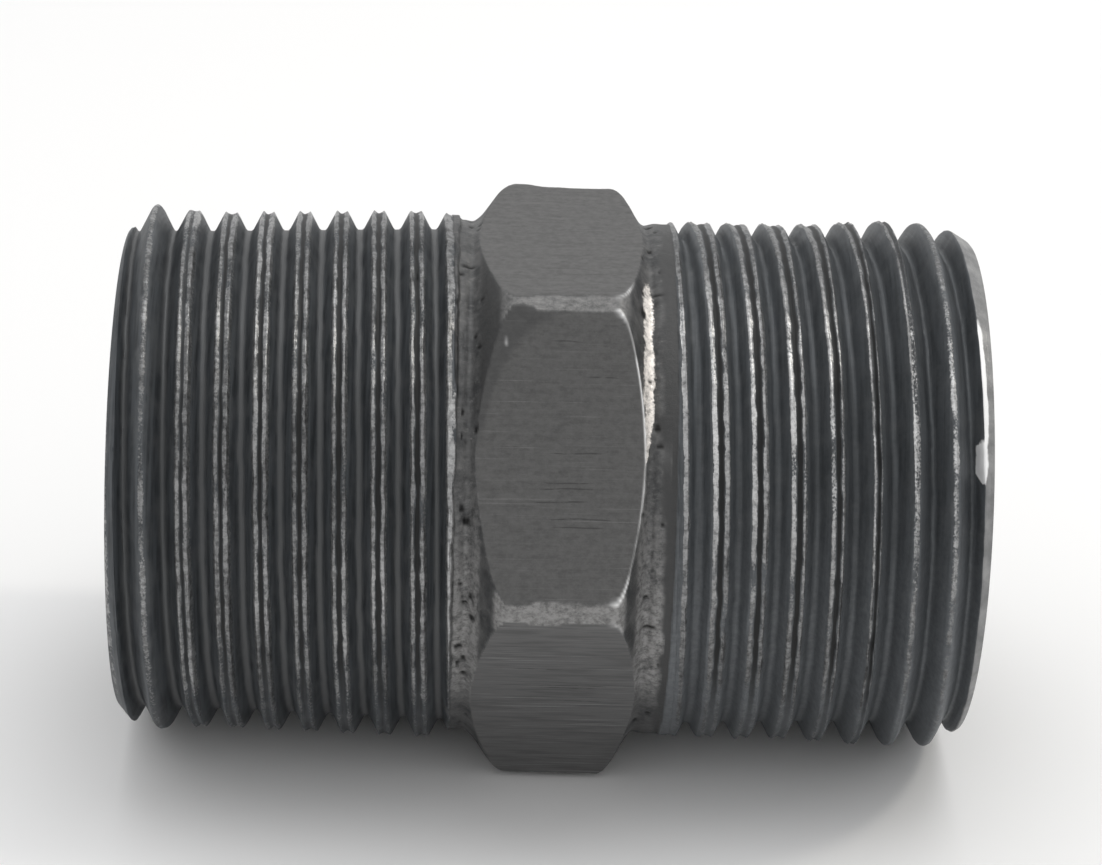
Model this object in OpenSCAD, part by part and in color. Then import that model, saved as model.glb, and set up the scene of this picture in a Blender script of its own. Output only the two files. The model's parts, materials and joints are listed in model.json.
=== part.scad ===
// Hex nipple: a short steel pipe connector. A collar with six spanner flats stands between
// two male taper pipe threads (size R 1, right-hand at both ends), and a straight bore runs
// through all of it.
// The axis lies along X. The origin is on the axis at the middle of the collar.
// Two of the six flats face +Z and -Z. Lengths are in millimetres and angles in degrees.

/* [Thread] */
// Diameter over the thread crests
crest_d = 32.6; // [32.2:0.1:33.2]
// Distance between neighbouring crests (11 threads to the inch)
pitch = 2.309; // [2.1:0.001:2.4]
// Angle between the two sides of the groove
groove_angle = 55; // [50:1:60]
// Width of the groove's floor
floor_w = 0.4; // [0.3:0.05:0.5]
// Diameter at the groove's floor, at the free end
floor_d = 29.64; // [29.2:0.01:29.9]
// Growth of the floor diameter for each millimetre from the free end (1 in 16)
taper = 0.0625; // [0.05:0.0005:0.07]
// Width of the narrowest crest, where the groove is deepest
narrow_crest_w = 0.12; // [0.06:0.01:0.2]

/* [Left end] */
// From the middle of the collar to the left end
left_length = 26.7; // [26.5:0.1:29]
// Length of the left thread
left_thread_length = 20.1; // [17:0.1:20.1]
// From the left end to its first whole crest, along the top line
left_first_crest = 1.72; // [1.5:0.01:3.8]
// Diameter of the plain neck between the left thread and the collar
left_neck_d = 32; // [31.6:0.1:32.6]

/* [Right end] */
// From the middle of the collar to the right end
right_length = 25.7; // [25.5:0.1:29]
// Length of the right thread
right_thread_length = 18.5; // [16.8:0.1:18.9]
// From the right end to its first whole crest, along the top line
right_first_crest = 2.93; // [1.5:0.01:3.8]
// Diameter of the plain neck between the right thread and the collar
right_neck_d = 32.2; // [31.6:0.1:32.6]

/* [Collar] */
// Distance between opposite spanner flats
across_flats = 32.4; // [32:0.1:33]
// Diameter over the round corners that the flats leave
corner_d = 36.9; // [36:0.05:37.1]
// Width of the collar at its full diameter, measured between the sharp edges
crown_w = 6.9; // [6:0.1:7.2]
// Slope of the collar's sides, measured from the axis
side_angle = 60; // [55:1:65]
// Radius of the rounded edge between the crown and each side
shoulder_r = 0.8; // [0.4:0.1:1.2]
// Radius of the hollow between each side and its neck
hollow_r = 1.5; // [1:0.1:1.6]

/* [Bore] */
// Diameter of the straight bore
bore_d = 25; // [22:0.1:26]
// Chamfer at each mouth of the bore
mouth_chamfer = 0.8; // [0.3:0.1:1]
// Chamfer around the outside of each end
end_chamfer = 0.6; // [0.2:0.1:0.8]

/* [Hidden] */

STEEL = [0.33, 0.33, 0.34];
THREAD_STEEL = [0.26, 0.27, 0.28];

crest_r = crest_d / 2;
flank_run = tan(groove_angle / 2);        // axial run of a flank for each millimetre of depth
ridge_half_w = (pitch - floor_w) / 2;     // half the width of the thread ridge at the floor

ARC_STEPS = 6;                            // straight steps in each rounded stretch of the outline
ROUND = 96;                               // facets of round surfaces in previews
SECTIONS_PER_TURN = 72;                   // cross-sections in one turn of a thread ridge
RISE_TURNS = 0.2;                         // part of a turn in which a ridge rises from the floor
RIDGE_MARGIN = 0.15;                      // gap between the ends of a ridge and of its thread
EMBED = 0.05;                             // depth of a ridge's foot below the floor
OVERCUT = 1;                              // how far a cutting solid reaches past what it cuts

// Radius of the groove's floor at a distance from the free end
function floor_r(from_end) = floor_d / 2 + from_end * taper / 2;

// Points of an arc, in equal steps
function arc(centre, r, from, to) = [
    for (i = [0:ARC_STEPS])
        let (a = from + (to - from) * i / ARC_STEPS)
        centre + r * [cos(a), sin(a)]
];

// Outline of one side of the body, from the crown to the free end, as [along the axis, radius]
function side_outline(length, thread_length, neck_r) =
    let (
        corner_r = corner_d / 2,
        crown_edge = crown_w / 2,
        side_foot = crown_edge + (corner_r - neck_r) / tan(side_angle),
        tangent = tan(side_angle / 2),
        shoulder_centre = [crown_edge - shoulder_r * tangent, corner_r - shoulder_r],
        hollow_centre = [side_foot + hollow_r * tangent, neck_r + hollow_r],
        thread_edge = length - thread_length,
        flank_foot = thread_edge + (neck_r - floor_r(thread_length)) * flank_run
    )
    concat(
        arc(shoulder_centre, shoulder_r, 90, 90 - side_angle),
        arc(hollow_centre, hollow_r, 270 - side_angle, 270),
        [
            [thread_edge, neck_r],
            [flank_foot, floor_r(length - flank_foot)],
            [length - end_chamfer, floor_r(end_chamfer)],
            [length, floor_r(0) - end_chamfer],
            [length, 0]
        ]
    );

// Solid turned about the X axis from one side's outline
module turned_side(outline) {
    points = concat([[0, 0], [0, corner_d / 2]], outline);
    rotate([0, 90, 0])
        rotate_extrude($fn = ROUND)
            polygon([for (p = points) [p[1], p[0]]]);
}

// Body before the flats and the bore are cut
module blank() {
    turned_side(side_outline(right_length, right_thread_length, right_neck_d / 2));
    mirror([1, 0, 0])
        turned_side(side_outline(left_length, left_thread_length, left_neck_d / 2));
}

// Six blocks that cut the spanner flats into the collar
module flat_cutters() {
    block_w = corner_d;
    block_l = 2 * (crown_w + hollow_r);
    for (side = [0:5])
        rotate([60 * side, 0, 0])
            translate([-block_l / 2, -block_w / 2, across_flats / 2])
                cube([block_l, block_w, corner_d / 2]);
}

// Chamfer cone at one mouth of the bore, opening towards +X
module mouth_cutter() {
    reach = mouth_chamfer + OVERCUT;
    translate([-mouth_chamfer, 0, 0])
        rotate([0, 90, 0])
            cylinder(d1 = bore_d, d2 = bore_d + 2 * reach, h = reach, $fn = ROUND);
}

// Straight bore with a chamfer at each mouth
module bore_cutter() {
    translate([-left_length - OVERCUT, 0, 0])
        rotate([0, 90, 0])
            cylinder(d = bore_d, h = left_length + right_length + 2 * OVERCUT, $fn = ROUND);
    translate([right_length, 0, 0])
        mouth_cutter();
    translate([-left_length, 0, 0])
        mirror([1, 0, 0])
            mouth_cutter();
}

module hex_body() {
    color(STEEL)
        difference() {
            blank();
            flat_cutters();
            bore_cutter();
        }
}

// Cross-section of a thread ridge centred at x: two foot corners and two crest corners,
// turned to where a right-hand helix puts them. The ridge crosses the top line at crest_x.
function ridge_section(x, from_end, crest_x, rise) =
    let (
        foot_r = floor_r(from_end) - EMBED,
        full_h = min(crest_r - floor_r(from_end), (ridge_half_w - narrow_crest_w / 2) / flank_run),
        top_r = floor_r(from_end) + rise * full_h,
        foot_half_w = ridge_half_w + EMBED * flank_run,
        top_half_w = foot_half_w - (top_r - foot_r) * flank_run,
        angle = 90 + 360 * (x - crest_x) / pitch,
        corners = [
            [-foot_half_w, foot_r],
            [foot_half_w, foot_r],
            [top_half_w, top_r],
            [-top_half_w, top_r]
        ]
    )
    [for (c = corners) [x + c[0], c[1] * cos(angle), c[1] * sin(angle)]];

// Closed helical ridge whose centre runs from x_low to x_high
module thread_ridge(x_low, x_high, free_end_x, crest_x) {
    steps = floor((x_high - x_low) / pitch * SECTIONS_PER_TURN);
    rise_l = RISE_TURNS * pitch;
    points = [
        for (i = [0:steps])
            let (
                x = x_low + (x_high - x_low) * i / steps,
                rise = min(1, (x - x_low) / rise_l, (x_high - x) / rise_l)
            )
            each ridge_section(x, abs(free_end_x - x), crest_x, rise)
    ];
    sides = [
        for (i = [0:steps - 1])
            for (k = [0:3])
                let (a = 4 * i + k, b = 4 * i + (k + 1) % 4)
                [a, b, b + 4, a + 4]
    ];
    last = 4 * steps;
    ends = [[3, 2, 1, 0], [last, last + 1, last + 2, last + 3]];
    polyhedron(points = points, faces = concat(sides, ends), convexity = 10);
}

module left_thread() {
    inset = ridge_half_w + RIDGE_MARGIN;
    color(THREAD_STEEL)
        thread_ridge(
            -left_length + inset,
            -left_length + left_thread_length - inset,
            -left_length,
            -left_length + left_first_crest
        );
}

module right_thread() {
    inset = ridge_half_w + RIDGE_MARGIN;
    color(THREAD_STEEL)
        thread_ridge(
            right_length - right_thread_length + inset,
            right_length - inset,
            right_length,
            right_length - right_first_crest
        );
}

hex_body();
left_thread();
right_thread();
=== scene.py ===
"""Looks of the hex nipple: rolled taper threads, milled spanner flats and forged necks.

The part's axis lies along X. Lengths are in millimetres until a mesh is made. Angles around
the axis are in radians and run from +Y towards +Z, so the top line of the part is at a
quarter turn and the camera looks at about 154 degrees.

Each piece is a closed tube. Its radius is worked out at every mesh point, together with a set
of masks: numbers from 0 to 1 that say how far the point is milled, pitted or burnished, and where
painted light and shade go.
The steel material mixes its colours, roughness and relief by these masks.
"""

import json
import math
from types import SimpleNamespace

import bpy
import numpy as np
from mathutils import Matrix, Vector


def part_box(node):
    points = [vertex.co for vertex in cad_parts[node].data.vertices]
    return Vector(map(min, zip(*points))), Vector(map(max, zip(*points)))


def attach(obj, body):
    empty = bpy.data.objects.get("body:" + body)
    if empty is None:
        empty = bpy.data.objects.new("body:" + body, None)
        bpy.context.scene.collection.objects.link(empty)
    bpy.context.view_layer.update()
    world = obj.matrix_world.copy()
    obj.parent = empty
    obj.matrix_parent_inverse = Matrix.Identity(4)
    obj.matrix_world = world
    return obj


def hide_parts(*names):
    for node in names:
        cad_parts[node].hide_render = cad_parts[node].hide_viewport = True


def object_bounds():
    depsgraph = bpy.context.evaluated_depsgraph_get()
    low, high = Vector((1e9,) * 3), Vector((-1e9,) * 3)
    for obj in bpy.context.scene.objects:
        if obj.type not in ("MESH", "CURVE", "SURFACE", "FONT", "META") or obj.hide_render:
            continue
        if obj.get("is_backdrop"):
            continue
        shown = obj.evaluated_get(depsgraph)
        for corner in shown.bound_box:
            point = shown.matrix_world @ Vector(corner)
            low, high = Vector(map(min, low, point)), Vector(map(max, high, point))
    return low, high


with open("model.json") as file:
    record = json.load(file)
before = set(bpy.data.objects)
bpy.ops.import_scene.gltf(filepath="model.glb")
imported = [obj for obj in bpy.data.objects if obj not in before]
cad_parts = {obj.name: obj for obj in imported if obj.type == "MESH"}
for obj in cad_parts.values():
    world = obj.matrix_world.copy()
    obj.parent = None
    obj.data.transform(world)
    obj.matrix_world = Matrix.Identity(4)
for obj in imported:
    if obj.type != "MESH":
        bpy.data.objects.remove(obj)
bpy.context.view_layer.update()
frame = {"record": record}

MM = 0.001                                  # metres in a millimetre
TURN = 2 * math.pi
TOP = math.pi / 2

# ------------------------------ sizes from the frame


def node_box(name):
    """Lowest and highest corner of a CAD node."""
    low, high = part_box(name)
    return np.array(low) / MM, np.array(high) / MM


def mount(name):
    """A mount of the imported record."""
    return next(m for m in frame["record"]["mounts"] if m["name"] == name)


body_low, body_high = node_box("hex_body")
LEFT_X, RIGHT_X = body_low[0], body_high[0]
CORNER_R = body_high[1]
CREST_R = mount("left_male_thread")["dims"]["r_mm"]
BORE_R = mount("bore")["dims"]["r_mm"]
FLAT_R = mount("spanner_flat_top")["pos_m"][2] / MM
LEFT_EDGE_X = LEFT_X + mount("left_male_thread")["dims"]["length_mm"]
RIGHT_EDGE_X = RIGHT_X - mount("right_male_thread")["dims"]["length_mm"]

# ------------------------------ sizes of the details

# The threads
PITCH = 2.309
FLANK_RUN = math.tan(math.radians(27.5))    # axial run of a flank for a millimetre of depth
FLOOR_R = 14.82                             # groove floor at a free end
FLOOR_ROUND = 0.14
TAPER = 1 / 32                              # growth of the floor radius along the axis
APEX_RISE = 1.85                            # from the groove floor to the ridge's sharp point
LEFT_FIRST_CREST, RIGHT_FIRST_CREST = 1.72, 2.93    # from each end, along the top line
CREST_ROUND, DOME_ROUND = 0.06, 0.3         # rounding of a flat crest, and what a dome adds
CHAMFER_ROUND = 0.2
FULL_EDGE = 0.42                            # half width of a crest with lips of full size
LIP_HALVES = (0.12, 0.09)                   # half widths of a crest's left and right lip
LIP_HEIGHTS = (0.09, 0.07)
VALLEY_DEPTH, VALLEY_HALF = 0.07, 0.13      # the shallow valley between the lips
LAST_FADE = 0.4                             # length over which the last crest changes its form
WALL_DROP = 1.2                             # how far the thread sinks under the neck

# The collar, the necks and the bore
NECK_R = 16.06
NECK_FROM = 4.7                             # where the necks begin, from the collar's middle
WAIST_X, WAIST_HALF = 5.25, 0.45            # shallow waist of both necks
WAIST_DEPTH = 0.28
LEFT_CROWN_HALF, RIGHT_CROWN_HALF = 3.3, 3.7    # from the collar's middle to its slopes
LEFT_SLOPE = math.tan(math.radians(55))
RIGHT_SLOPE = math.tan(math.radians(60))
SHOULDER_ROUND = 0.85                       # between the crown and a slope
HOLLOW_ROUND = 0.7                          # between a slope and a neck
FLAT_ROUND = 0.05                           # around the flats
MOUTH_CHAMFER = 0.8

# Unevenness of the steel
FORGED_WAVES = 0.05
FINE_ROUGH = 0.012

# Directions around the axis
FACING = math.radians(154)                  # towards the camera
TOP_FLAT_TO, FRONT_FLAT_TO = 120, 180       # degrees: where the top and the front flat end
FRONT_CORNER = math.radians(FRONT_FLAT_TO)
TABLE_CORNER = math.radians(240)            # the corner nearest the table, at the camera's side

# The burr beside the front flat
BURR_FROM, BURR_TO = math.radians(111), math.radians(186)
BURR_FADE = 0.1                             # radians
BURR_HEIGHT = 0.04

# The meshes
SHARP = math.radians(55)                    # steeper folds of the mesh are shaded as sharp edges
COLUMNS_THREAD = 360                        # mesh columns around each threaded end
ROWS_CREST, ROWS_GROOVE = 18, 10            # mesh rows in each turn of the helix
CREST_ROWS_HALF = 0.52                      # the close rows reach this far from a crest's middle
RIM_MARGIN = 0.03                           # least distance from the helix rows to an end's rim
COLUMNS_BODY = 480                          # mesh columns around the collar
RINGS_BODY = 186
RINGS_BODY_BORE = 14
RINGS_THREAD_BORE = 6
BORE_RING_MARGIN = 0.5                      # from a seam to the nearest ring in the bore

# ------------------------------ shaping functions


def smooth_min(a, b, k):
    """Lower of a and b, rounded where they are less than k apart."""
    h = np.clip(0.5 + 0.5 * (b - a) / k, 0, 1)
    return b + (a - b) * h - k * h * (1 - h)


def smooth_max(a, b, k):
    """Higher of a and b, rounded where they are less than k apart."""
    return -smooth_min(-a, -b, k)


def smooth_step(x, zero, one):
    """0 at zero, 1 at one, and smooth between them. One may lie on either side of zero."""
    t = np.clip((x - zero) / (one - zero), 0, 1)
    return t * t * (3 - 2 * t)


def more(share):
    """Share that reaches 1 sooner."""
    return np.minimum(1.6 * share, 1)


def bell(x, centre, width):
    """Bump of height 1."""
    return np.exp(-((x - centre) / width) ** 2)


def angle_gap(angle, centre):
    """Signed angle from centre, from -pi to pi."""
    return (angle - centre + math.pi) % TURN - math.pi


def lattice_value(ix, iy, iz, seed):
    """Repeatable number from -1 to 1 at a whole-number point."""
    n = (ix * 374761393 + iy * 668265263 + iz * 2147483647 + seed * 974634777) & 0xFFFFFFFF
    n = ((n ^ (n >> 13)) * 1274126177) & 0xFFFFFFFF
    n = ((n ^ (n >> 16)) * 2246822519) & 0xFFFFFFFF
    return (n ^ (n >> 15)) / 0x7FFFFFFF - 1.0


def noise(x, y, z, seed):
    """Smooth noise from -1 to 1."""
    whole = [np.floor(c).astype(np.int64) for c in (x, y, z)]
    part = [c - w for c, w in zip((x, y, z), whole)]
    part = [p * p * (3 - 2 * p) for p in part]
    total = 0
    for corner in range(8):
        step = [(corner >> axis) & 1 for axis in range(3)]
        weight = 1
        for p, s in zip(part, step):
            weight = weight * (p if s else 1 - p)
        total = total + weight * lattice_value(*[w + s for w, s in zip(whole, step)], seed)
    return total


def grain(x, angle, along, around, seed, octaves=2):
    """Noise on the part's surface: each grain is along mm long and around mm across."""
    total = 0
    for octave in range(octaves):
        fine = 2 ** octave
        total = total + noise(
            x * fine / along,
            CREST_R * np.cos(angle) * fine / around,
            CREST_R * np.sin(angle) * fine / around,
            seed + octave,
        ) / fine
    return total


def dents(x, angle, marks):
    """Depth of all marks, each given as (x, angle in degrees, half length, half width, depth)."""
    depth = np.zeros(np.broadcast(x, angle).shape)
    for mark_x, degrees, half_l, half_w, mark_depth in marks:
        arc = CREST_R * angle_gap(angle, math.radians(degrees))
        depth = depth + mark_depth * bell(x, mark_x, half_l) * bell(arc, 0, half_w)
    return depth


def scattered_pits(count, low_x, high_x, seed):
    """Marks for small round pits, scattered over a stretch of the surface."""
    rng = np.random.default_rng(seed)
    pits = []
    for _ in range(count):
        size = rng.uniform(0.09, 0.22)
        place = rng.uniform(low_x, high_x)
        degrees = rng.uniform(0, 360)
        pits.append((place, degrees, size, size * rng.uniform(0.8, 1.6), size * 0.7))
    return pits


# ------------------------------ necks and collar

NECK_MARKS = [
    (-6.2, 105, 0.35, 0.09, 0.15),          # two cracks beside the left thread
    (-5.6, 102, 0.45, 0.08, 0.12),
    (-5.7, 194, 0.25, 0.16, 0.2),           # square pit low on the left neck
    (4.85, 117, 0.16, 0.35, 0.25),          # deep pit in the right hollow
    (5.75, 110, 0.5, 0.10, 0.15),           # crack beside the right thread
    (5.3, 180, 0.15, 0.15, 0.15),           # small pits low on the right neck
    (5.6, 187.5, 0.5, 0.1, 0.12),
]
LEFT_PITS = scattered_pits(50, LEFT_EDGE_X + 0.5, -NECK_FROM, seed=5)
RIGHT_PITS = scattered_pits(60, NECK_FROM, RIGHT_EDGE_X - 0.9, seed=6)
NECK_PITS = LEFT_PITS + RIGHT_PITS


def neck_radius(x, angle):
    """Radius of the plain necks, with a shallow waist where they face the camera."""
    facing = 0.5 + 0.5 * np.cos(angle - FACING)
    waist = WAIST_DEPTH * facing * bell(np.abs(x), WAIST_X, WAIST_HALF)
    return NECK_R + 0.03 * grain(x, angle, 1.2, 2.0, seed=41) - waist


def crown_radius(x, angle):
    """Radius over the collar's round corners: fuller at the top left and near the table."""
    upper = (0.5 + 0.5 * np.sin(angle)) ** 2
    front_corner = bell(angle_gap(angle, FRONT_CORNER), 0, 0.4)
    table_corner = bell(angle_gap(angle, TABLE_CORNER), 0, 0.5)
    crown = CORNER_R - 0.09 + 0.26 * upper * smooth_step(-x, 0.8, 2.6)
    crown = crown - 0.12 * front_corner * bell(x, -1.2, 1.6)
    crown = crown + 0.3 * table_corner
    return crown + FORGED_WAVES * grain(x, angle, 1.6, 1.6, seed=51)


def turned_radius(x, angle):
    """Radius of the forged and turned steel before the flats are cut."""
    left = x < 0
    start = np.where(left, LEFT_CROWN_HALF, RIGHT_CROWN_HALF)
    slope = np.where(left, LEFT_SLOPE, RIGHT_SLOPE)
    waves = FORGED_WAVES * grain(x, angle, 2.5, 3.0, seed=61)
    side = CORNER_R - (np.abs(x) - start) * slope + waves
    collar = smooth_min(side, crown_radius(x, angle), SHOULDER_ROUND)
    radius = smooth_max(collar, neck_radius(x, angle), HOLLOW_ROUND)
    rough = FINE_ROUGH * grain(x, angle, 0.3, 0.5, seed=65)
    return radius + rough - dents(x, angle, NECK_MARKS)


def spanner_flats(x, angle):
    """Radius out to the six flats, and the angle from the middle of the nearest one."""
    sixth = np.round((angle - TOP) / (TURN / 6))
    across = angle - TOP - sixth * TURN / 6
    cutter_waves = 0.008 * grain(x, angle, 4.0, 0.35, seed=71)
    return FLAT_R / np.cos(across) + cutter_waves, across


def painted_neck_sheen(degrees):
    """Share of painted sheen around the necks: most of it below the front."""
    return 0.14 + 0.86 * smooth_step(degrees, 145, 190) * smooth_step(degrees, 218, 200)


def burr_share(x, angle, gap):
    """Ragged burr along the right-hand edge of the front flat, coloured near white as a painted glint.
    """
    patches = smooth_step(grain(x, angle, 1.0, 1.2, seed=91), -0.3, 0.3)
    length = smooth_step(angle, BURR_FROM, BURR_FROM + BURR_FADE)
    length = length * smooth_step(angle, BURR_TO, BURR_TO - BURR_FADE)
    dull = 0.55 * bell(np.degrees(angle), 163, 9)
    on_edge = bell(gap, 0.0, 0.09) * smooth_step(x, 2.9, 3.5)
    return on_edge * length * (1 - dull) * (0.35 + 0.65 * patches)


def speck_share(x, angle):
    """Speck on the front flat, coloured near white as a painted glint."""
    arc = CREST_R * (angle - math.radians(127.2))
    return 0.6 * bell(x, -3.3, 0.09) * bell(arc, 0, 0.12)


def corner_shade_share(x, degrees, height):
    """Painted shade on the upper left corner of the front flat, outside the oval that the cutter
    cleaned.
    """
    outside = smooth_step(np.hypot(x / 4.75, height / 9.4), 0.96, 1.03)
    upper_left = smooth_step(height, 1.5, 3.5) * smooth_step(-x, 0.0, 1.0)
    return outside * upper_left * smooth_step(degrees, TOP_FLAT_TO - 1, TOP_FLAT_TO + 1)


def painted_highlight_share(x, angle):
    """Painted highlight: warm, near-white streak in the hollow of the right neck. It narrows towards
    its lower end.
    """
    degrees = np.degrees(angle)
    length = smooth_step(degrees, 103, 112) * smooth_step(degrees, 162, 150)
    centre_x = 5.2 - 0.45 * smooth_step(degrees, 140, 158)
    width = 0.34 - 0.2 * smooth_step(degrees, 135, 158)
    ragged_x = x + 0.1 * grain(x, angle, 0.5, 0.7, seed=95, octaves=3)
    return length * bell(ragged_x, centre_x, width)


def painted_shade_share(x, angle, radius):
    """Painted shade on the collar's left slope and around the right neck's outer end."""
    degrees = np.degrees(angle)
    slope = smooth_step(radius, NECK_R + 0.09, NECK_R + 0.44)
    slope = slope * smooth_step(-x, LEFT_CROWN_HALF, LEFT_CROWN_HALF + 0.7)
    slope = slope * smooth_step(degrees, 165, 130)
    shift = 0.35 * smooth_step(degrees, 150, 185)
    shift = shift + 0.22 * grain(x, angle, 1.2, 1.6, seed=97, octaves=3)
    return np.where(x < 0, 0.95 * slope, smooth_step(x - shift, 5.85, 6.3))


def collar_surface(x, angle):
    """Radius of the collar and necks, and the masks that the material reads."""
    degrees = np.degrees(angle)
    turned = turned_radius(x, angle)
    flat, across = spanner_flats(x, angle)
    pits = dents(x, angle, NECK_PITS)
    gap = turned - flat
    milled = smooth_step(gap, 0.0, 0.05)
    burr = burr_share(x, angle, gap)
    radius = smooth_min(turned - pits, flat, FLAT_ROUND) + BURR_HEIGHT * burr

    corner = smooth_step(np.abs(across), 0.44, 0.47) * smooth_step(radius, 17.6, 18.1)
    height = radius * np.sin(angle - FACING + math.pi)
    masks = {
        "milled": milled,
        # painted shade on the front flat's upper left corner
        "painted_corner_shade": corner_shade_share(x, degrees, height),
        # painted light: 1 colours the lower flat brighter, 0.2 the front one a little; the same mask
        # also places the scratches
        "finish": np.select([degrees < TOP_FLAT_TO, degrees < FRONT_FLAT_TO], [0.0, 0.2], 1.0),
        # real burr and speck, with a painted glint
        "edge": np.maximum(burr, speck_share(x, angle)),
        # painted sheen low on the necks
        "light": smooth_step(radius, NECK_R + 0.84, NECK_R + 0.34) * painted_neck_sheen(degrees),
        # painted highlight in the right neck's hollow
        "painted_highlight": painted_highlight_share(x, angle),
        # painted shade: darker skin on the left slope and at the right neck's outer end
        "painted_shade": painted_shade_share(x, angle, radius),
        "band": corner * (1 - milled) * np.where(degrees < 150, 0.55, 1.2),
        "pit": smooth_step(pits + dents(x, angle, NECK_MARKS), 0.02, 0.10),
        "skin": 1.0,
    }
    return radius, masks


# ------------------------------ threads


class Thread:
    """What both threaded ends share.

    free_x is the end face, seam_x the hidden joint with the collar's piece, wall_x the place
    where the thread sinks into the neck, and crest_x the first crest on the top line.
    """

    side = None                             # -1 at the left and 1 at the right
    seed = 0
    marks = []
    last_from = 0.0                         # distance of the last crest from the collar's middle
    drift = 0.0                             # shift of the crests where they face the camera
    swell = 0.0                             # extra half width of the crests near the top line
    dome_from, dome_to = 0.0, 1.0           # crests are round up to here, and flat from there on
    wall_wander = 0.0
    neck_round = 0.1
    floor_shine = 0.0

    def __init__(self, free_x, seam_x, wall_x, crest_x):
        self.free_x = free_x
        self.seam_x = seam_x
        self.wall_x = wall_x
        self.crest_x = crest_x

    def locate(self, x, angle):
        """Where each point lies on the thread.

        signed is the distance along the axis from the middle of the nearest crest, and offset
        is the same without its sign. last is 1 on the last crest, and merged is 1 on its side
        towards the collar, where no groove follows. domed is 1 near the free end.
        """
        at = SimpleNamespace(x=x, angle=angle, degrees=np.degrees(angle))
        at.from_end = np.abs(x - self.free_x)
        turns = (x - self.crest_x) / PITCH - (angle - TOP) / TURN
        ridge = np.round(turns)
        centre_x = self.crest_x + PITCH * (ridge + (angle - TOP) / TURN)
        at.last = smooth_step(centre_x * self.side, self.last_from, self.last_from - LAST_FADE)

        drift = self.drift * bell(angle_gap(angle, FACING), 0, 1.0) * (1 - at.last)
        wobble = 0.035 * grain(x, angle, 2.0, 1.6, self.seed)
        at.signed = (turns - ridge) * PITCH + wobble - drift
        at.offset = np.abs(at.signed)
        at.left_lip = at.signed < 0
        towards_collar = at.left_lip if self.side > 0 else ~at.left_lip
        at.merged = at.last * towards_collar

        at.domed = smooth_step(at.from_end, self.dome_to, self.dome_from)
        at.flat_top = 1 - at.domed
        at.ragged = grain(x, angle, 0.5, 0.7, self.seed + 7, octaves=3)
        return at

    def lip_height(self, at):
        """The two rough lips that thread rolling raises along the edges of a crest."""
        width = np.where(at.left_lip, *LIP_HALVES) * (1 + 0.25 * at.ragged) * at.slim
        height = np.where(at.left_lip, *LIP_HEIGHTS) * (1 + 0.9 * at.ragged)
        return height * bell(at.offset, at.edge - 0.07 * at.slim, width) * at.flat_top

    def ridge_radius(self, at):
        """Radius of the rolled ridges and the grooves between them."""
        floor = FLOOR_R + at.from_end * TAPER
        drawn_floor = floor + FINE_ROUGH * grain(at.x, at.angle, 0.4, 3.0, self.seed + 3)
        wider = self.swell * bell(at.degrees, 66, 24) * at.flat_top
        apex = floor + APEX_RISE + 0.15 * at.domed + wider / FLANK_RUN
        level = self.crest_level(at.from_end)
        ragged_edge = 0.02 * grain(at.x, at.angle, 0.5, 0.45, self.seed + 23)
        at.edge = (apex - level) * FLANK_RUN + ragged_edge - self.edge_cut(at)
        at.slim = np.clip(at.edge / FULL_EDGE, 0.35, 1)

        skin = FINE_ROUGH * grain(at.x, at.angle, 0.3, 0.5, self.seed + 11)
        valley = VALLEY_DEPTH * bell(at.offset, 0, VALLEY_HALF) * at.flat_top * (1 - at.merged)
        crest = level + self.lip_height(at) * (1 - at.merged) - valley + skin
        groove = smooth_max(apex - at.offset / FLANK_RUN, drawn_floor, FLOOR_ROUND)
        radius = smooth_min(groove, crest, CREST_ROUND + DOME_ROUND * at.domed)
        return radius + at.merged * np.maximum(level - 0.05 + skin - radius, 0)

    def surface(self, x, angle):
        """Radius of the thread, and the masks that the material reads."""
        at = self.locate(x, angle)
        ridge = self.ridge_radius(at)
        chamfer = self.chamfer_radius(at.from_end)
        chamfered = smooth_min(ridge, chamfer, CHAMFER_ROUND)
        at.above_chamfer = ridge - chamfer
        at.on_chamfer = smooth_step(chamfered - chamfer, -0.10, 0.0)
        radius = chamfered - dents(x, angle, self.marks)

        wander = self.wall_wander * grain(x, angle, 0.8, 1.0, self.seed + 31, octaves=3)
        past_wall = (self.wall_x - x) * self.side + wander
        sunk = WALL_DROP * smooth_step(past_wall, 0, np.abs(self.seam_x - self.wall_x))
        neck = turned_radius(x, angle) - np.maximum(-past_wall, 0) / FLANK_RUN
        at.on_neck = smooth_step(neck - radius + sunk, -0.05, 0.05)
        at.thread = 1 - at.on_neck
        return smooth_max(radius - sunk, neck, self.neck_round), self.masks(at)

    def lip_share(self, at):
        """Bright steel on the lips, or on the whole crest where it is round."""
        gap_half = self.gap_half(at)
        inner = smooth_step(at.offset, gap_half, gap_half + 0.07)
        outer = smooth_step(at.offset - at.edge, self.lip_fade(at) + 0.05, 0.02)
        patches = 0.75 + 0.35 * grain(at.x, at.angle, 2.0, 1.8, self.seed + 19)
        on_lip = inner * outer * (1 - at.merged) * patches
        on_dome = smooth_step(at.offset, 0.34, 0.05) * (0.8 + 0.3 * at.ragged)
        return np.maximum(on_lip * more(at.flat_top), on_dome * more(at.domed) * 0.75)

    def masks(self, at):
        """The masks of both ends, and then the ones that each end adds."""
        before_back = smooth_step(at.degrees, 335, 275)
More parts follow.
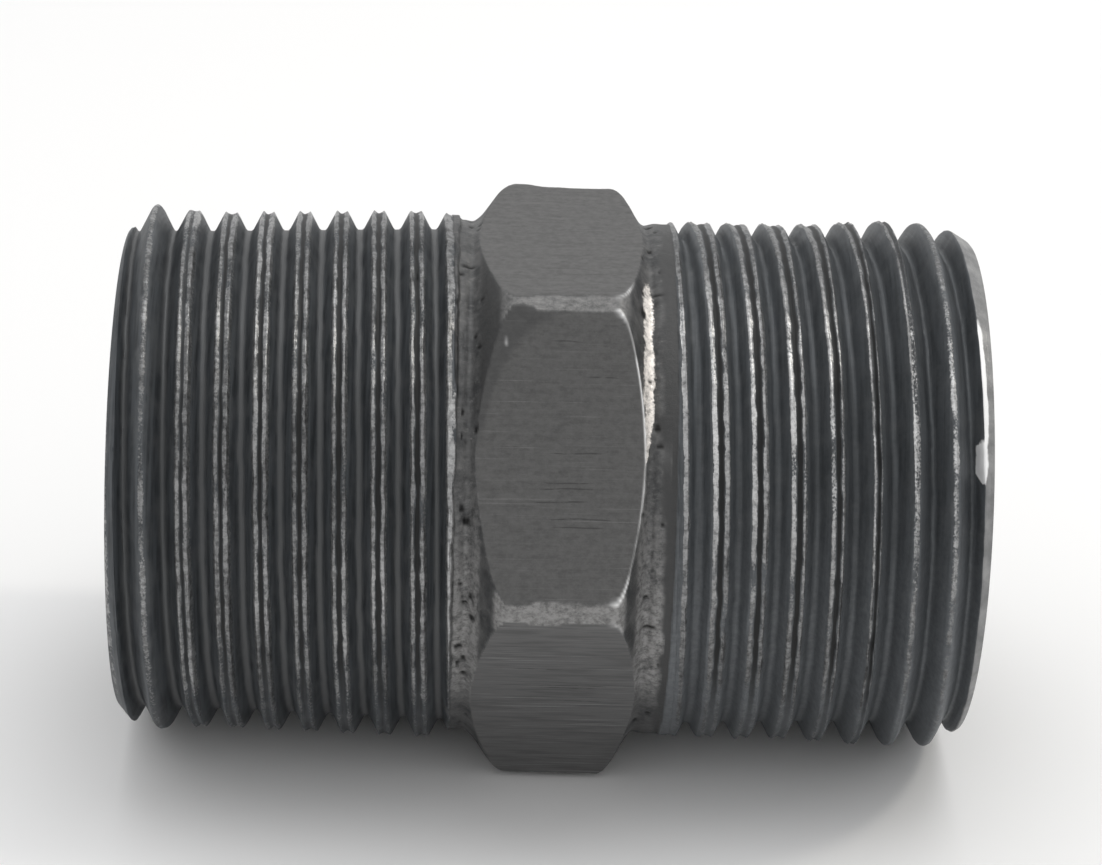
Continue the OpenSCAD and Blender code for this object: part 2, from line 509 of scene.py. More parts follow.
        # painted light: on the lower side the lips are coloured dimmer and the dark gaps fainter
        lower = smooth_step(at.degrees, 192, 222) * before_back
        gap_half = self.gap_half(at)
        gap = smooth_step(at.offset, gap_half + 0.04, gap_half - 0.03) * at.flat_top
        floor = smooth_step(at.offset, PITCH / 2 - 0.22, PITCH / 2 - 0.16)
        masks = {
            "lip": self.lip_share(at) * at.thread * (1 - 0.45 * lower),
            "gap": gap * at.thread * (1 - at.last) * (1 - 0.7 * lower),
            "floor": floor * at.thread * self.floor_shine,
            "skin": at.on_neck,
            # painted sheen low on the neck beside this thread
            "light": at.on_neck * painted_neck_sheen(at.degrees),
            "pit": smooth_step(dents(at.x, at.angle, NECK_MARKS), 0.02, 0.10) * at.on_neck,
        }
        self.add_masks(at, masks, before_back)
        return masks


class LeftThread(Thread):
    """Left end: a high first crest, lips that spread towards the neck and a broad last lip."""

    side = -1
    seed = 100
    marks = [
        (-24.9, 114.5, 0.25, 0.35, 0.25),   # dents on the first crest
        (-8.8, 108, 0.2, 0.3, 0.2),         # nick on the last crest
        (-22.6, 110.5, 0.2, 0.2, -0.15),    # blob of steel on the second crest
        (-26.4, 150, 0.2, 0.25, -0.25),     # bump at the rim
    ]
    last_from = 7.4
    drift = 0.08
    dome_from, dome_to = 2.5, 5.0
    wall_wander = 0.1
    neck_round = 0.28
    floor_shine = 1.0

    def crest_level(self, from_end):
        """Radius over the crests: high at the first one, and growing from the third one on."""
        growth = 0.033 * np.clip(from_end - 6, 0, 12.5)
        lower_last = 0.15 * smooth_step(from_end, 18.5, 20)
        return CREST_R - 0.22 + (growth - lower_last) + 0.62 * bell(from_end, 0, 3.1)

    def chamfer_radius(self, from_end):
        """Chamfer around the free end."""
        return 15.0 + 1.2 * from_end

    def edge_cut(self, at):
        """Nothing is taken off the crests' edges."""
        return 0.0

    def gap_half(self, at):
        """Half width of the dark gap between the lips."""
        width = (0.09 + 0.06 * smooth_step(at.from_end, 5, 15)) * at.slim
        return width * (1 + 0.35 * at.ragged)

    def lip_fade(self, at):
        """How far the lips' brightness reaches down the flanks."""
        return np.where(at.left_lip, 0.06, 0.14 + 0.14 * smooth_step(at.from_end, 11, 4))

    def add_masks(self, at, masks, before_back):
        """The broad last lip beside the neck, a faint burnish on all the lips, and a painted glint on
        the broad lip around the front.
        """
        inner_edge = -at.signed + 0.2 * at.ragged
        broad = smooth_step(at.signed, -at.edge - 0.1, -at.edge)
        broad = broad * smooth_step(inner_edge, -0.3, 0.1)
        broad = at.last * broad * (0.65 + 0.6 * at.ragged)
        broad = broad * (1 - 0.7 * bell(at.degrees, 129, 11))
        polish_and_glint = 0.12 + 0.25 * grain(at.x, at.angle, 2.5, 6.0, self.seed + 13)
        # painted glint: the broad lip brighter around 153 degrees
        polish_and_glint = polish_and_glint + 0.6 * broad * bell(at.degrees, 153, 33)
        masks["lip"] = np.maximum(masks["lip"], broad)
        masks["polish_and_glint"] = polish_and_glint * at.thread
        masks["skin"] = np.maximum(at.on_neck, at.merged)


class RightThread(Thread):
    """Right end: lips with a painted glint around the front, wide crests near the top line and a
    bruised rim with a painted highlight.
    """

    side = 1
    seed = 200
    marks = [
        (24.85, 145.5, 0.22, 0.5, -0.25),   # steel bruised out of the end's rim
        (24.9, 149.5, 0.20, 0.45, -0.22),
        (25.05, 153, 0.16, 0.35, -0.15),
        (23.2, 150, 0.35, 1.2, -0.12),      # swelling beside it
        (14.3, 129, 0.12, 0.5, -0.12),      # curls of swarf
        (12.7, 170, 0.12, 0.2, -0.12),
    ]
    last_from = 8.4
    drift = 0.14
    swell = 0.15
    dome_from, dome_to = 3.5, 6.0
    floor_shine = 0.1

    def crest_level(self, from_end):
        """Radius over the crests: the ones near the free end stand proud."""
        return CREST_R - 0.15 + 0.38 * smooth_step(from_end, 11.5, 4.5)

    def chamfer_radius(self, from_end):
        """Chamfer around the free end."""
        return 15.5 + 0.6 * from_end

    def edge_cut(self, at):
        """The left lips stand closer to the crests' middles, most of all near the neck."""
        return (0.06 + 0.1 * smooth_step(at.from_end, 12, 16)) * at.left_lip

    def gap_half(self, at):
        """Half width of the dark gap between the lips."""
        return 0.14 * at.slim * (1 + 0.35 * at.ragged) + np.where(at.left_lip, -0.03, 0.08)

    def lip_fade(self, at):
        """How far the lips' brightness reaches down the flanks."""
        return np.where(at.left_lip, 0.06, 0.04)

    def add_masks(self, at, masks, before_back):
        """The bright end and its bruise, a painted highlight on the rim, a painted sheen on the flanks
        low down, and painted shade at the run-out and on the neck beside it.
        """
        bruise = bell(at.x, 24.95, 0.4) * bell(at.degrees, 149, 6) + 0.2 * at.ragged
        bruise = smooth_step(bruise, 0.35, 0.6)
        # painted highlight: near-white line along the edge of the end's chamfer, and over the bruise
        rim = smooth_step(at.above_chamfer, -0.12, 0.0) * smooth_step(at.above_chamfer, 0.9, 0.35)
        rim = rim * bell(at.degrees, 132, 20)
        # painted sheen: flanks coloured lighter low down
        painted_low_sheen = 0.25 + 0.45 * smooth_step(at.degrees, 150, 195) * before_back
        # painted glint: lips brighter around 143 degrees, the left ones most
        polish_and_glint = np.where(at.left_lip, 1.0, 0.55) * bell(at.degrees, 143, 28)
        # painted shade where the last crest runs into the neck
        run_out_shade = smooth_step(at.signed, 0.2, 0.0) * at.last
        masks["end"] = np.maximum(at.on_chamfer, bruise)
        masks["rim"] = np.maximum(rim, 0.8 * bruise)
        masks["polish_and_glint"] = polish_and_glint * at.thread
        masks["light"] = masks["light"] + painted_low_sheen * (1 - at.on_chamfer) * at.thread
        # painted shade over the run-out and the neck beside this thread
        masks["painted_shade"] = np.maximum(run_out_shade, at.on_neck)


LEFT = LeftThread(
    free_x=LEFT_X,
    seam_x=LEFT_EDGE_X + 0.75,
    wall_x=LEFT_EDGE_X + 0.35,
    crest_x=LEFT_X + LEFT_FIRST_CREST,
)
RIGHT = RightThread(
    free_x=RIGHT_X,
    seam_x=RIGHT_EDGE_X - 0.6,
    wall_x=RIGHT_EDGE_X - 0.2,
    crest_x=RIGHT_X - RIGHT_FIRST_CREST,
)

# ------------------------------ meshes

MASKS = (
    "milled", "finish", "painted_corner_shade", "edge", "band", "pit", "skin", "light", "painted_highlight", "painted_shade",
    "lip", "polish_and_glint", "gap", "floor", "end", "rim", "inside", "mouth",
)
HIDDEN_R = 0.5 * (BORE_R + NECK_R)          # middle of the hidden faces at the seams
FACE_RINGS = (0.05, 0.15, 0.4, 0.65, 0.9)   # shares of the way from an end's rim to its mouth


class Shell:
    """Collects the points, faces and masks of one closed piece."""

    def __init__(self):
        self.points = []
        self.faces = []
        self.masks = {name: [] for name in MASKS}
        self.count = 0

    def add(self, x, angle, radius, masks):
        """Adds points and returns their numbers."""
        x, angle, radius = np.broadcast_arrays(x, angle, radius)
        place = np.stack([x, radius * np.cos(angle), radius * np.sin(angle)], -1)
        self.points.append(place.reshape(-1, 3))
        for name, values in self.masks.items():
            values.append(np.broadcast_to(masks.get(name, 0.0), x.shape).reshape(-1))
        numbers = np.arange(self.count, self.count + x.size).reshape(x.shape)
        self.count += x.size
        return numbers

    def bridge(self, rings):
        """Joins each ring to the next by four-sided faces."""
        for ring, after in zip(rings[:-1], rings[1:]):
            corners = [ring, np.roll(ring, -1), np.roll(after, -1), after]
            self.faces.extend(np.stack(corners, -1).tolist())

    def piece(self, name, material):
        """Makes the Blender object."""
        mesh = bpy.data.meshes.new(name)
        mesh.from_pydata((np.concatenate(self.points) * MM).tolist(), [], self.faces)
        for mask, values in self.masks.items():
            attribute = mesh.attributes.new(mask, "FLOAT", "POINT")
            attribute.data.foreach_set("value", np.concatenate(values).astype(np.float32))
        mesh.polygons.foreach_set("use_smooth", [True] * len(mesh.polygons))
        mesh.materials.append(material)
        mesh.update()
        mesh.set_sharp_from_angle(angle=SHARP)
        piece = bpy.data.objects.new(name, mesh)
        bpy.context.scene.collection.objects.link(piece)
        return piece


def helix_rows(thread):
    """Positions of the mesh rows in turns: close together on the crests, wider in the grooves."""
    crest = np.linspace(-CREST_ROWS_HALF, CREST_ROWS_HALF, ROWS_CREST, endpoint=False)
    groove = np.linspace(CREST_ROWS_HALF, PITCH - CREST_ROWS_HALF, ROWS_GROOVE, endpoint=False)
    rows = np.concatenate([crest, groove]) / PITCH
    low_x, high_x = sorted((thread.free_x, thread.seam_x))
    first = math.floor((low_x - thread.crest_x) / PITCH) - 3
    last = math.ceil((high_x - thread.crest_x) / PITCH) + 3
    number = np.arange(first * len(rows), last * len(rows))
    return number // len(rows) + rows[number % len(rows)]


def helix_skin(shell, thread, angles):
    """Adds the points of the thread's skin. Row by column, -1 marks a place without a point."""
    turns = helix_rows(thread)
    low_x, high_x = sorted((thread.free_x, thread.seam_x))
    x = thread.crest_x + PITCH * (turns[:, None] + (angles[None, :] - TOP) / TURN)
    angle = np.broadcast_to(angles, x.shape)
    used = (x > low_x + RIM_MARGIN) & (x < high_x - RIM_MARGIN)
    numbers = np.full(x.shape, -1)
    numbers[used] = shell.add(x[used], angle[used], *thread.surface(x[used], angle[used]))
    return numbers


def thread_piece(name, thread, material):
    """Threaded end as a closed tube. The rows of its skin follow the helix."""
    shell = Shell()
    angles = np.arange(COLUMNS_THREAD) * TURN / COLUMNS_THREAD
    skin = helix_skin(shell, thread, angles)
    rims = []
    for x in sorted((thread.free_x, thread.seam_x)):
        radius, masks = thread.surface(np.full(COLUMNS_THREAD, x), angles)
        rims.append((shell.add(x, angles, radius, masks), radius))
    (low_rim, low_r), (high_rim, high_r) = rims

    rows_per_turn = ROWS_CREST + ROWS_GROOVE
    for j in range(COLUMNS_THREAD):
        k = (j + 1) % COLUMNS_THREAD
        here = skin[:, j]
        there = skin[:, k]
        if k == 0:
            there = np.concatenate([there[rows_per_turn:], np.full(rows_per_turn, -1)])
        join_columns(shell, here, there, low_rim[[j, k]], high_rim[[j, k]])

    inner = bore_rings(shell, thread, angles, low_r if thread.side < 0 else high_r)
    if thread.side < 0:
        inner.reverse()
    shell.bridge([high_rim] + inner + [low_rim])
    return shell.piece(name, material)


def join_columns(shell, here, there, low_pair, high_pair):
    """Faces between two neighbouring columns, out to the rims at both ends."""
    both = np.nonzero((here >= 0) & (there >= 0))[0]
    a, b = here[both], there[both]
    shell.faces.extend(np.stack([a[:-1], b[:-1], b[1:], a[1:]], -1).tolist())
    start, end = both[0], both[-1]
    if there[start - 1] >= 0:
        shell.faces.append([low_pair[0], there[start - 1], there[start], here[start]])
        shell.faces.append([low_pair[0], low_pair[1], there[start - 1]])
    else:
        shell.faces.append([low_pair[0], low_pair[1], there[start], here[start]])
    if here[end + 1] >= 0:
        shell.faces.append([here[end], there[end], high_pair[1], here[end + 1]])
        shell.faces.append([here[end + 1], high_pair[1], high_pair[0]])
    else:
        shell.faces.append([here[end], there[end], high_pair[1], high_pair[0]])


def bore_rings(shell, thread, angles, rim_r):
    """Rings over the end face, through the mouth and along the bore to the hidden face."""
    inward = -thread.side
    mouth_r = BORE_R + MOUTH_CHAMFER
    path = [(thread.free_x, rim_r + share * (mouth_r - rim_r)) for share in FACE_RINGS]
    path += [
        (thread.free_x + inward * 0.03, mouth_r - 0.03),
        (thread.free_x + inward * (MOUTH_CHAMFER - 0.04), BORE_R + 0.04),
        (thread.free_x + inward * (MOUTH_CHAMFER + 0.06), BORE_R),
    ]
    wall_from = thread.free_x + inward * 1.5
    wall_to = thread.seam_x - inward * BORE_RING_MARGIN
    path += [(x, BORE_R) for x in np.linspace(wall_from, wall_to, RINGS_THREAD_BORE)]
    path += [(thread.seam_x, BORE_R), (thread.seam_x, HIDDEN_R)]
    rings = []
    for x, radius in path:
        ring_x = np.full(len(angles), x)
        dent = FINE_ROUGH * grain(ring_x, angles, 0.8, 1.0, thread.seed + 17)
        on_chamfer = np.all((radius > BORE_R) & (radius < mouth_r))
        masks = {"inside": 1.0, "mouth": 1.0 if on_chamfer else 0.0}
        rings.append(shell.add(ring_x, angles, radius + dent, masks))
    return rings


def body_piece(name, material):
    """Collar and necks as a closed tube between the two threaded ends."""
    shell = Shell()
    angles = np.arange(COLUMNS_BODY) * TURN / COLUMNS_BODY
    outer_x = np.linspace(LEFT.seam_x, RIGHT.seam_x, RINGS_BODY)
    x, angle = np.meshgrid(outer_x, angles, indexing="ij")
    rings = list(shell.add(x, angle, *collar_surface(x, angle)))

    bore_from = RIGHT.seam_x - BORE_RING_MARGIN
    bore_to = LEFT.seam_x + BORE_RING_MARGIN
    path = [(RIGHT.seam_x, HIDDEN_R), (RIGHT.seam_x, BORE_R)]
    path += [(x, BORE_R) for x in np.linspace(bore_from, bore_to, RINGS_BODY_BORE)]
    path += [(LEFT.seam_x, BORE_R), (LEFT.seam_x, HIDDEN_R)]
    for x, radius in path:
        rings.append(shell.add(np.full(COLUMNS_BODY, x), angles, radius, {"inside": 1.0}))
    shell.bridge(rings + rings[:1])
    return shell.piece(name, material)


# ------------------------------ materials


class Nodes:
    """Short calls for building one material's node tree."""

    def __init__(self, name):
        self.material = bpy.data.materials.new(name)
        self.material.use_nodes = True
        self.tree = self.material.node_tree
        self.tree.nodes.clear()
        self.place = self.add("ShaderNodeTexCoord").outputs["Object"]

    def add(self, kind, **settings):
        """Adds a node with its settings."""
        node = self.tree.nodes.new(kind)
        for key, value in settings.items():
            setattr(node, key, value)
        return node

    def feed(self, source, target):
        """Sets an input from a socket or a value."""
        if isinstance(source, bpy.types.NodeSocket):
            self.tree.links.new(source, target)
        else:
            target.default_value = source

    def mask(self, name):
        """A mask that the mesh carries."""
        return self.add("ShaderNodeAttribute", attribute_name=name).outputs["Fac"]

    def sum(self, operation, a, b=0.0):
        """One calculation with numbers."""
        node = self.add("ShaderNodeMath", operation=operation)
        self.feed(a, node.inputs[0])
        self.feed(b, node.inputs[1])
        return node.outputs[0]

    def times(self, a, b):
        """Product of two numbers."""
        return self.sum("MULTIPLY", a, b)

    def plus(self, a, b):
        """Sum of two numbers."""
        return self.sum("ADD", a, b)

    def mix(self, share, a, b):
        """Colour between a and b."""
        node = self.add("ShaderNodeMix", data_type="RGBA")
        self.feed(share, node.inputs[0])
        self.feed(a, node.inputs[6])
        self.feed(b, node.inputs[7])
        return node.outputs[2]

    def blend(self, share, a, b):
        """Number between a and b."""
        node = self.add("ShaderNodeMix", data_type="FLOAT")
        self.feed(share, node.inputs[0])
        self.feed(a, node.inputs[2])
        self.feed(b, node.inputs[3])
        return node.outputs[0]

    def grain(self, size, detail=3.0, roughness=0.5):
        """Noise from 0 to 1 whose grains measure size (x, y, z) millimetres."""
        mapping = self.add("ShaderNodeMapping")
        self.feed(self.place, mapping.inputs["Vector"])
        mapping.inputs["Scale"].default_value = [1 / (s * MM) for s in size]
        texture = self.add("ShaderNodeTexNoise")
        self.feed(mapping.outputs[0], texture.inputs["Vector"])
        texture.inputs["Scale"].default_value = 1.0
        texture.inputs["Detail"].default_value = detail
        texture.inputs["Roughness"].default_value = roughness
        return texture.outputs["Fac"]

    def ramp(self, value, zero, one):
        """0 at zero, 1 at one, and smooth between them."""
        node = self.add("ShaderNodeMapRange", interpolation_type="SMOOTHSTEP")
        self.feed(value, node.inputs["Value"])
        node.inputs["From Min"].default_value = zero
        node.inputs["From Max"].default_value = one
        return node.outputs["Result"]

    def ragged(self, mask, wear, reach):
        """The mask with its border eaten away by noise."""
        pushed = self.sum("MULTIPLY_ADD", wear, reach)
        pushed.node.inputs[2].default_value = -reach / 2
        return self.ramp(self.plus(mask, pushed), 0.35, 0.65)

    def along(self, direction):
        """Distance of the shaded point from the part's middle, along a direction."""
        node = self.add("ShaderNodeVectorMath", operation="DOT_PRODUCT")
        self.feed(self.place, node.inputs[0])
        self.feed(direction, node.inputs[1])
        return node.outputs["Value"]

    def finish(self, colour, roughness, metallic, height, depth):
        """Joins everything into a metal surface."""
        bump = self.add("ShaderNodeBump")
        bump.inputs["Strength"].default_value = 1.0
        bump.inputs["Distance"].default_value = depth * MM
        self.feed(height, bump.inputs["Height"])
        shader = self.add("ShaderNodeBsdfPrincipled")
        self.feed(colour, shader.inputs["Base Color"])
        self.feed(roughness, shader.inputs["Roughness"])
        self.feed(metallic, shader.inputs["Metallic"])
        self.feed(bump.outputs["Normal"], shader.inputs["Normal"])
        output = self.add("ShaderNodeOutputMaterial")
        self.feed(shader.outputs[0], output.inputs["Surface"])
        return self.material


def grey(value, warm=0.0):
    """Linear grey, a little warm (above 0) or cool (below 0)."""
    return (value * (1 + warm), value, value * (1 - warm), 1.0)


TOOL_MARKS = [
    # angle of the flat, start x, end x, height above the flat's middle
    (150, -1.0, 2.8, -0.25),
    (150, -1.2, 2.2, 1.5),
    (150, -1.9, 2.6, 1.85),
    (150, -2.0, 1.8, 2.5),
    (150, -1.2, 3.4, 3.6),
    (150, -0.6, 2.9, 4.1),
    (150, 1.2, 3.6, -4.8),
    (150, -0.8, 1.4, -6.9),
    (210, -1.2, 3.6, -1.55),
    (210, -0.9, 2.9, -1.3),
    (210, 0.2, 3.7, 0.3),
    (210, -2.6, 0.8, -3.4),
    (90, -1.6, 1.9, 4.6),
    (90, 0.4, 3.1, 5.4),
]
MARK_HALF = 0.06                            # half width of a tool mark, fading from a third of it
MARK_FADE = 0.8                             # length over which a tool mark begins or ends
MARK_WANDER = 0.5                           # how far a tool mark strays across the flat


def tool_marks(nodes):
    """Dark cutter marks on the upper, the front and the lower flat."""
    wander = nodes.times(nodes.grain((4.0, 1.5, 1.5), 2), MARK_WANDER * MM)
    broken = nodes.ramp(nodes.grain((0.7, 0.3, 0.3), 3), 0.3, 0.55)
    axes = nodes.add("ShaderNodeSeparateXYZ")
    nodes.feed(nodes.place, axes.inputs[0])
    x = axes.outputs["X"]
    total = 0.0
    for degrees, from_x, to_x, height in TOOL_MARKS:
        face = math.radians(degrees)
        up_flat = nodes.along((0, -math.sin(face), math.cos(face)))
        outward = nodes.along((0, math.cos(face), math.sin(face)))
        off = nodes.sum("SUBTRACT", nodes.plus(up_flat, wander), (height + MARK_WANDER / 2) * MM)
        line = nodes.ramp(nodes.sum("ABSOLUTE", off), MARK_HALF * MM, MARK_HALF / 3 * MM)
        line = nodes.times(line, nodes.ramp(x, from_x * MM, (from_x + MARK_FADE) * MM))
        line = nodes.times(line, nodes.ramp(x, to_x * MM, (to_x - MARK_FADE) * MM))
        line = nodes.times(line, nodes.ramp(outward, (FLAT_R - 0.3) * MM, (FLAT_R - 0.1) * MM))
        total = nodes.sum("MAXIMUM", total, line)
    return nodes.times(total, nodes.times(broken, 0.65))


def surface_grains(nodes):
    """The noises that the parts of the steel share, each named after what it looks like."""
    return SimpleNamespace(
        fine=nodes.grain((0.45, 0.35, 0.35), 6, 0.75),
        speck=nodes.grain((0.12, 0.16, 0.16), 2),
        cloud=nodes.grain((1.4, 1.4, 1.4), 5, 0.6),
        around_lines=nodes.grain((0.07, 3.0, 3.0), 3),
        drawn_lines=nodes.grain((0.16, 4.0, 4.0), 3),
        long_lines=nodes.grain((9.0, 0.10, 0.10), 4, 0.6),
        broad_lines=nodes.grain((3.0, 0.25, 0.25), 3),
        mottle=nodes.grain((1.2, 0.35, 0.35), 4, 0.65),
    )


def flank_colour(nodes, noises):
    """Dark, bluish steel of the flanks, lighter as a painted sheen where the light mask says so, and a
    painted sheen along the groove floors.
    """
    drawn = nodes.mix(nodes.ramp(noises.drawn_lines, 0.3, 0.7), grey(0.040, -0.10), grey(0.086, -0.09))
    hazy = nodes.mix(nodes.ramp(noises.cloud, 0.4, 0.8), drawn, grey(0.095, -0.05))
    # painted sheen: lighter copy of the flank colour
    pale = nodes.mix(nodes.ramp(noises.fine, 0.3, 0.7), grey(0.11, -0.07), grey(0.18, -0.06))
    flank = nodes.mix(nodes.mask("light"), hazy, pale)
    # painted sheen along the groove floors
    return nodes.mix(nodes.times(nodes.mask("floor"), 0.8), flank, grey(0.115, -0.02))


def thread_colour(nodes, noises, lip_share):
    """Flanks, the dark gap between the lips, the burnished lips with their painted glint, and the end
    face's rim as a painted highlight.
    """
    thread = nodes.mix(nodes.mask("gap"), flank_colour(nodes, noises), grey(0.008, -0.05))
    dull = nodes.mix(nodes.ramp(noises.fine, 0.36, 0.64), grey(0.08, -0.01), grey(0.24, -0.01))
    # bright lip colour: burnished steel, and on both ends a painted glint towards the front
    polish_glint_colour = nodes.mix(nodes.ramp(noises.fine, 0.3, 0.6), grey(0.3, -0.01), grey(0.75, 0.0))
    thread = nodes.mix(lip_share, thread, nodes.mix(nodes.mask("polish_and_glint"), dull, polish_glint_colour))
    end = nodes.mix(nodes.ramp(noises.cloud, 0.3, 0.75), grey(0.19, -0.01), grey(0.32, 0.0))
    thread = nodes.mix(nodes.ragged(nodes.mask("end"), noises.cloud, 0.6), thread, end)
    # painted highlight: near-white rim of the right end
    return nodes.mix(nodes.ragged(nodes.mask("rim"), noises.cloud, 0.9), thread, grey(0.9))


def skin_colour(nodes, noises):
    """Forging skin of the necks and of the collar's round corners, with painted sheen low on the
    necks, painted shade on the left slope and the right neck's outer end, and a painted highlight in
    the right neck's hollow.
    """
    skin = nodes.mix(nodes.ramp(noises.cloud, 0.35, 0.7), grey(0.045, -0.04), grey(0.11, 0.0))
    skin = nodes.mix(nodes.ramp(noises.fine, 0.55, 0.75), skin, grey(0.19, 0.02))
    # painted sheen: lighter steel low on the necks where the light mask says so
    sheen_share = nodes.times(nodes.mask("light"), nodes.ramp(noises.cloud, 0.15, 0.5))
    sheen_steel = nodes.mix(nodes.ramp(noises.fine, 0.30, 0.62), grey(0.08, 0.0), grey(0.30, 0.01))
    skin = nodes.mix(sheen_share, skin, sheen_steel)
    band = nodes.mix(nodes.ramp(noises.fine, 0.3, 0.65), grey(0.12, 0.01), grey(0.30, 0.01))
    skin = nodes.mix(nodes.mask("band"), skin, band)
    # painted shade: dark skin on the collar's left slope and at the right neck's outer end
    shaded_skin = nodes.mix(noises.fine, grey(0.045, -0.02), grey(0.08, 0.0))
    skin = nodes.mix(nodes.mask("painted_shade"), skin, shaded_skin)
    # painted highlight: warm, near-white streak in the right neck's hollow
    painted_highlight = nodes.mix(nodes.ramp(noises.fine, 0.3, 0.6), grey(0.35, 0.05), grey(0.95, 0.05))
    skin = nodes.mix(nodes.ragged(nodes.mask("painted_highlight"), noises.speck, 0.7), skin, painted_highlight)
    return nodes.mix(nodes.mask("pit"), skin, grey(0.012))


def flat_colour(nodes, noises, scratches):
    """Milled flats: plain at the top and the front, scratched below and coloured brighter there as
    painted light, and with painted shade on the front flat's upper left corner.
    """
    plain = nodes.mix(nodes.ramp(noises.fine, 0.32, 0.68), grey(0.088, 0.01), grey(0.132, 0.01))
    bright = nodes.mix(nodes.ramp(noises.broad_lines, 0.3, 0.7), grey(0.125, 0.0), grey(0.190, 0.0))
    bright = nodes.mix(nodes.ramp(noises.long_lines, 0.5, 0.8), bright, grey(0.26))
    # painted light: the finish mask lightens the lower flat, and a little the front one
    flat = nodes.mix(nodes.mask("finish"), plain, bright)
    mottled = nodes.times(nodes.ramp(noises.mottle, 0.35, 0.7), 0.35)
    flat = nodes.mix(mottled, flat, grey(0.15, 0.01))
    lined = nodes.times(nodes.ramp(noises.broad_lines, 0.5, 0.8), 0.3)
    flat = nodes.mix(lined, flat, grey(0.085, 0.01))
    flat = nodes.mix(tool_marks(nodes), flat, grey(0.055, 0.0))
    flat = nodes.mix(nodes.times(scratches, 0.6), flat, grey(0.30))
    # painted shade over the front flat's upper left corner
    return nodes.mix(nodes.times(nodes.mask("painted_corner_shade"), 0.45), flat, grey(0.06, -0.02))


def steel_colour(nodes, noises, lip_share, scratches):
    """Colour of the whole surface."""
    thread = thread_colour(nodes, noises, lip_share)
    colour = nodes.mix(nodes.mask("skin"), thread, skin_colour(nodes, noises))
    colour = nodes.mix(nodes.mask("milled"), colour, flat_colour(nodes, noises, scratches))
    # real burr and speck, coloured near white as a painted glint
    colour = nodes.mix(nodes.mask("edge"), colour, grey(0.95, 0.0))
    colour = nodes.mix(nodes.mask("inside"), colour, nodes.mix(noises.cloud, grey(0.04), grey(0.11)))
    mouth = nodes.times(nodes.mask("mouth"), nodes.ramp(noises.fine, 0.35, 0.6))
    return nodes.mix(mouth, colour, grey(0.25))


def steel_roughness(nodes, noises, lip_share):
    """Smoother on the lips, the flats and the burr than on the forging skin."""
    thread = nodes.blend(lip_share, 0.55, 0.36)
    skin = nodes.blend(noises.fine, 0.42, 0.62)
    rough = nodes.blend(nodes.mask("skin"), thread, skin)
    rough = nodes.blend(nodes.mask("milled"), rough, nodes.blend(noises.long_lines, 0.42, 0.56))
    return nodes.blend(nodes.mask("edge"), rough, 0.3)


def steel_relief(nodes, noises, lip_share, scratches):
    """Height of the fine relief: drawn lines, skin grain, scratches and turned bore."""
    thread = nodes.plus(noises.around_lines, nodes.times(noises.speck, lip_share))
    relief = nodes.blend(nodes.mask("skin"), thread, nodes.times(noises.fine, 2.5))
    milled = nodes.plus(nodes.times(noises.mottle, 0.5), scratches)
    relief = nodes.blend(nodes.mask("milled"), relief, milled)
    lathe = nodes.add("ShaderNodeTexWave", wave_type="RINGS", rings_direction="X")
    nodes.feed(nodes.place, lathe.inputs["Vector"])
    lathe.inputs["Scale"].default_value = 900
    lathe.inputs["Distortion"].default_value = 2
    return nodes.blend(nodes.mask("inside"), relief, nodes.times(lathe.outputs["Fac"], 0.6))


def steel(name):
    """Oiled black steel with milled flats, forging skin and burnished thread edges."""
    nodes = Nodes(name)
    noises = surface_grains(nodes)
    lip_share = nodes.ragged(nodes.mask("lip"), noises.speck, 0.9)
    lip_share = nodes.times(lip_share, nodes.ramp(noises.cloud, 0.1, 0.5))
    scratches = nodes.times(nodes.ramp(noises.long_lines, 0.62, 0.72), nodes.mask("finish"))
    metal = nodes.blend(nodes.mask("skin"), nodes.blend(lip_share, 0.35, 0.85), 0.6)
    return nodes.finish(
        colour=steel_colour(nodes, noises, lip_share, scratches),
        roughness=steel_roughness(nodes, noises, lip_share),
        metallic=nodes.blend(nodes.mask("milled"), metal, 0.85),
        height=steel_relief(nodes, noises, lip_share, scratches),
        depth=0.02,
    )


# ------------------------------ studio

FLOOR_REACH = 3000
DAYLIGHT = (1, 1, 1)
LAMPLIGHT = (1, 0.95, 0.85)


def soft_light(name, place, size, power, colour):
    """Square area light aimed at the part."""
    data = bpy.data.lights.new(name, "AREA")
    data.shape = "SQUARE"
    data.size = size * MM
    data.energy = power
    data.color = colour
    light = bpy.data.objects.new(name, data)
    light.location = Vector(place) * MM
    light.rotation_euler = light.location.to_track_quat("Z", "Y").to_euler()
    bpy.context.scene.collection.objects.link(light)


def studio_world():
    """Pale room: brighter behind the part than at the camera's side."""
    world = bpy.data.worlds.new("studio")
    world.use_nodes = True
    nodes, links = world.node_tree.nodes, world.node_tree.links
    place = nodes.new("ShaderNodeTexCoord")
    axes = nodes.new("ShaderNodeSeparateXYZ")
    links.new(place.outputs["Generated"], axes.inputs[0])
    back = nodes.new("ShaderNodeMapRange")
    links.new(axes.outputs["Y"], back.inputs["Value"])
    back.inputs["From Min"].default_value = -0.6
    back.inputs["From Max"].default_value = 0.9
    back.inputs["To Min"].default_value = 0.70
    back.inputs["To Max"].default_value = 1.0
    links.new(back.outputs["Result"], nodes["Background"].inputs["Strength"])
    nodes["Background"].inputs["Color"].default_value = (1, 1, 1, 1)
    bpy.context.scene.world = world


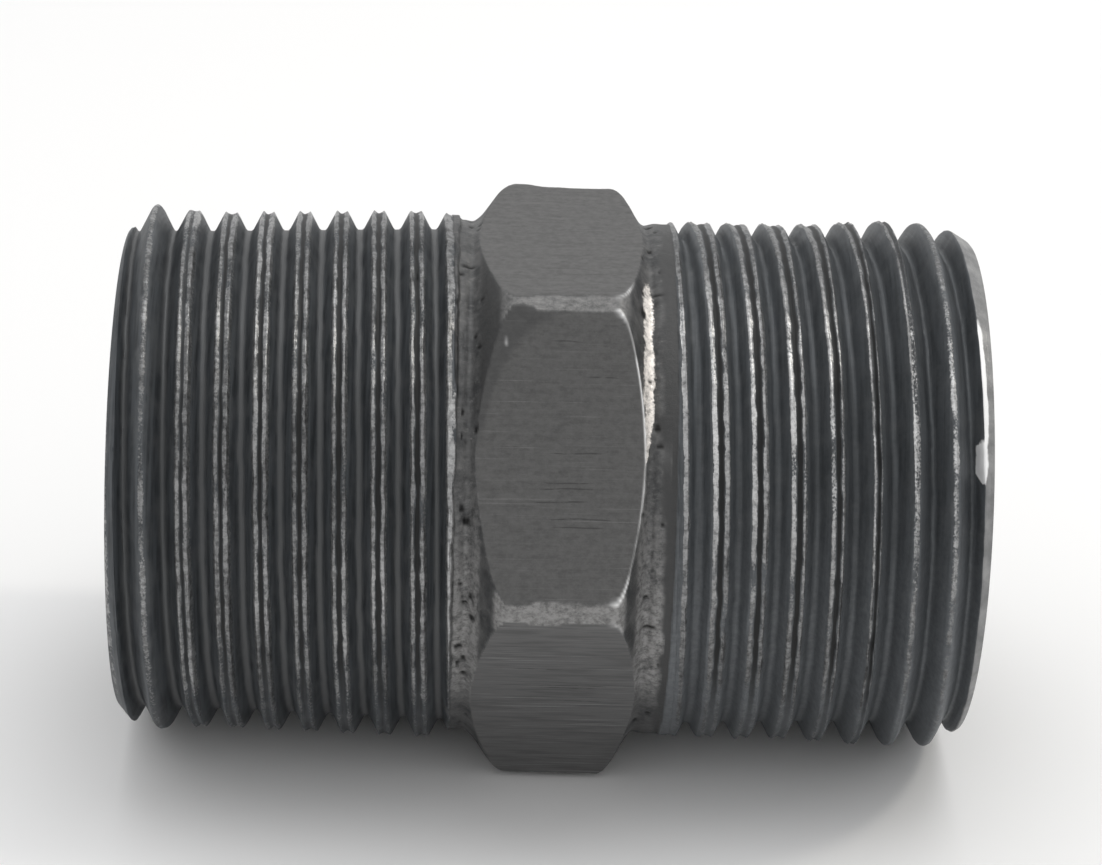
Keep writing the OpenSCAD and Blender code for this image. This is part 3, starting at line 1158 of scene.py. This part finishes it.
def floor_paint():
    """Matt white paint, clear when seen from below."""
    material = bpy.data.materials.new("floor_paint")
    material.use_nodes = True
    nodes, links = material.node_tree.nodes, material.node_tree.links
    paint = nodes["Principled BSDF"]
    paint.inputs["Base Color"].default_value = (0.9, 0.9, 0.9, 1)
    paint.inputs["Roughness"].default_value = 0.9
    clear = nodes.new("ShaderNodeBsdfTransparent")
    side = nodes.new("ShaderNodeNewGeometry")
    mix = nodes.new("ShaderNodeMixShader")
    links.new(side.outputs["Backfacing"], mix.inputs[0])
    links.new(paint.outputs[0], mix.inputs[1])
    links.new(clear.outputs[0], mix.inputs[2])
    links.new(mix.outputs[0], nodes["Material Output"].inputs["Surface"])
    return material


def studio():
    """Pale floor under the lowest point of the part, and soft lights."""
    floor_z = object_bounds()[0][2]
    reach = FLOOR_REACH * MM
    corners = [(-reach, -reach), (reach, -reach), (reach, reach), (-reach, reach)]
    mesh = bpy.data.meshes.new("floor")
    mesh.from_pydata([(x, y, floor_z) for x, y in corners], [], [(0, 1, 2, 3)])
    floor = bpy.data.objects.new("floor", mesh)
    bpy.context.scene.collection.objects.link(floor)
    mesh.materials.append(floor_paint())
    floor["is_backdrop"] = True

    studio_world()
    soft_light("overhead", (40, 40, 420), 300, 0.5, DAYLIGHT)
    soft_light("warm_side", (290, 60, 330), 60, 0.25, LAMPLIGHT)


def camera():
    """Camera close to the part, looking down at it from the front."""
    azimuth = math.radians(-1.81)
    elevation = math.radians(25.54)
    roll = math.radians(2.08)
    distance = 219.4
    aim = Vector((-0.11, 1.19, 2.49))
    out = Vector((
        math.sin(azimuth) * math.cos(elevation),
        -math.cos(azimuth) * math.cos(elevation),
        math.sin(elevation),
    ))
    data = bpy.data.cameras.new("camera")
    data.lens = 113.3
    data.sensor_width = 36
    data.clip_start = 0.01
    eye = bpy.data.objects.new("camera", data)
    turn = out.to_track_quat("Z", "Y").to_matrix().to_4x4() @ Matrix.Rotation(roll, 4, "Z")
    eye.matrix_world = Matrix.Translation((aim + out * distance) * MM) @ turn
    bpy.context.scene.collection.objects.link(eye)
    bpy.context.scene.camera = eye


# ------------------------------ the part


def fit(piece, node):
    """Puts a piece on the part's one body, in place of its CAD node."""
    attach(piece, "root")
    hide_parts(node)


collar = body_piece("collar_and_necks", steel("body_steel"))
left_end = thread_piece("left_threaded_end", LEFT, steel("left_thread_steel"))
right_end = thread_piece("right_threaded_end", RIGHT, steel("right_thread_steel"))
fit(collar, "hex_body")
fit(left_end, "left_thread")
fit(right_end, "right_thread")

studio()
camera()
bpy.context.scene.view_settings.view_transform = "Standard"
